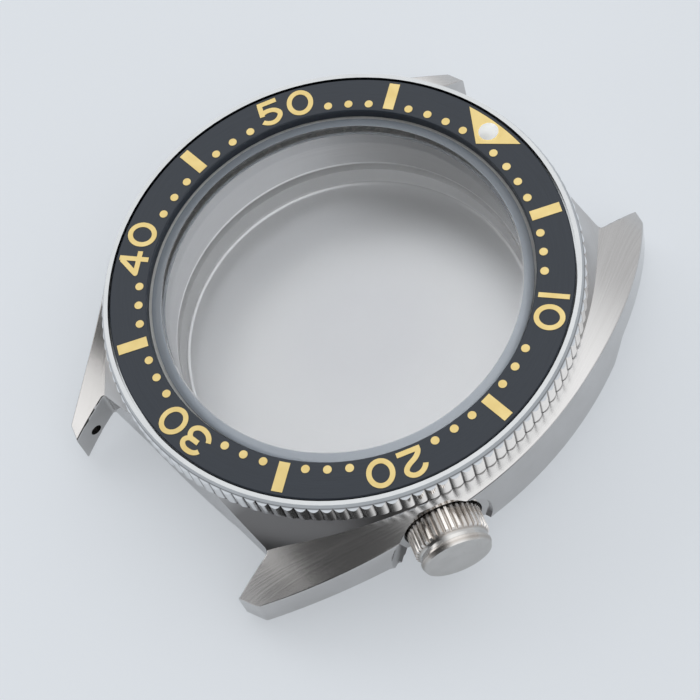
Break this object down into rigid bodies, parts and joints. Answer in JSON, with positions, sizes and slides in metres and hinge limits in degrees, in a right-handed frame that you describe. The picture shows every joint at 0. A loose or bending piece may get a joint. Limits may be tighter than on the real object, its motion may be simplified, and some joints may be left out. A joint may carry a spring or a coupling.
{
  "type": "empty watch case",
  "caption": "Empty divers' watch case: steel middle with four lugs, turning toothed bezel with a marked insert, crystal, screw-down crown at four o'clock and screw-in back.",
  "frame": {"origin": "centre of the case back's outer face, on the case axis", "axes": "+Z out of the crystal, +Y to 12 o'clock, +X to 3 o'clock"},
  "size_m": [0.0431, 0.046, 0.0127],
  "materials": {
    "case_steel": "long polished flanks, brushed tops",
    "bezel_steel": "polished",
    "sapphire": "polished, clear",
    "seal_rubber": "matt",
    "seal_nylon": "matt",
    "spring_steel": "bright",
    "insert_black": "black anodised, satin",
    "adhesive": "matt",
    "gold_mark": "satin gold",
    "pearl_white": "milky, glossy",
    "gold_cup": "polished",
    "crown_steel": "fine brushed end, knurled side",
    "back_steel": "fine circular brushing",
    "crystal_seal": "pale, matt"
  },
  "bodies": {
    "case": {"mid_case": "case_steel", "crystal": "sapphire", "crystal_gasket": "crystal_seal", "click_spring": "spring_steel", "bezel_gasket": "seal_rubber", "crown_tube": "spring_steel", "tube_ring_inner": "seal_rubber", "tube_ring_outer": "seal_rubber"},
    "bezel": {"bezel_ring": "bezel_steel", "bezel_wire": "spring_steel", "bezel_insert": "insert_black", "insert_adhesive": "adhesive", "insert_dots": "gold_mark", "insert_bars": "gold_mark", "insert_numerals": "gold_mark", "insert_triangle": "gold_mark", "pearl_cup": "gold_cup", "pearl": "pearl_white"},
    "crown_post": {"crown_post": "spring_steel"},
    "crown_seal": {"crown_gasket": "seal_rubber", "crown_washer": "seal_nylon"},
    "crown": {"crown_cap": "crown_steel", "crown_spring": "spring_steel"},
    "back_seal": {"caseback_gasket": "seal_rubber"},
    "back": {"caseback": "back_steel"}
  },
  "joints": [
    {"name": "bezel_turn", "type": "hinge", "parent": "case", "child": "bezel", "pos_m": [0, 0, 0.0102], "axis": [0, 0, 1], "continuous": true},
    {"name": "crown_pull", "type": "slide", "parent": "case", "child": "crown_post", "axis": [0.9201, -0.3917, 0], "range_m": [0, 0.001]},
    {"name": "crown_lift", "type": "slide", "parent": "crown_post", "child": "crown_seal", "axis": [0.9201, -0.3917, 0], "range_m": [0, 0.0015]},
    {"name": "crown_unscrew", "type": "hinge", "parent": "crown_seal", "child": "crown", "pos_m": [0.0184, -0.00783, 0.00617], "axis": [0.9201, -0.3917, 0], "range_deg": [0, 1080.1]},
    {"name": "caseback_lift", "type": "slide", "parent": "case", "child": "back_seal", "axis": [0, 0, -1], "range_m": [0, 0.014]},
    {"name": "caseback_unscrew", "type": "hinge", "parent": "back_seal", "child": "back", "pos_m": [0, 0, 0.001], "axis": [0, 0, -1], "range_deg": [0, 1080]}
  ],
  "couplings": [
    {"joint": "crown_unscrew", "follows": "crown_lift", "rad_per_m": 12566}
  ]
}
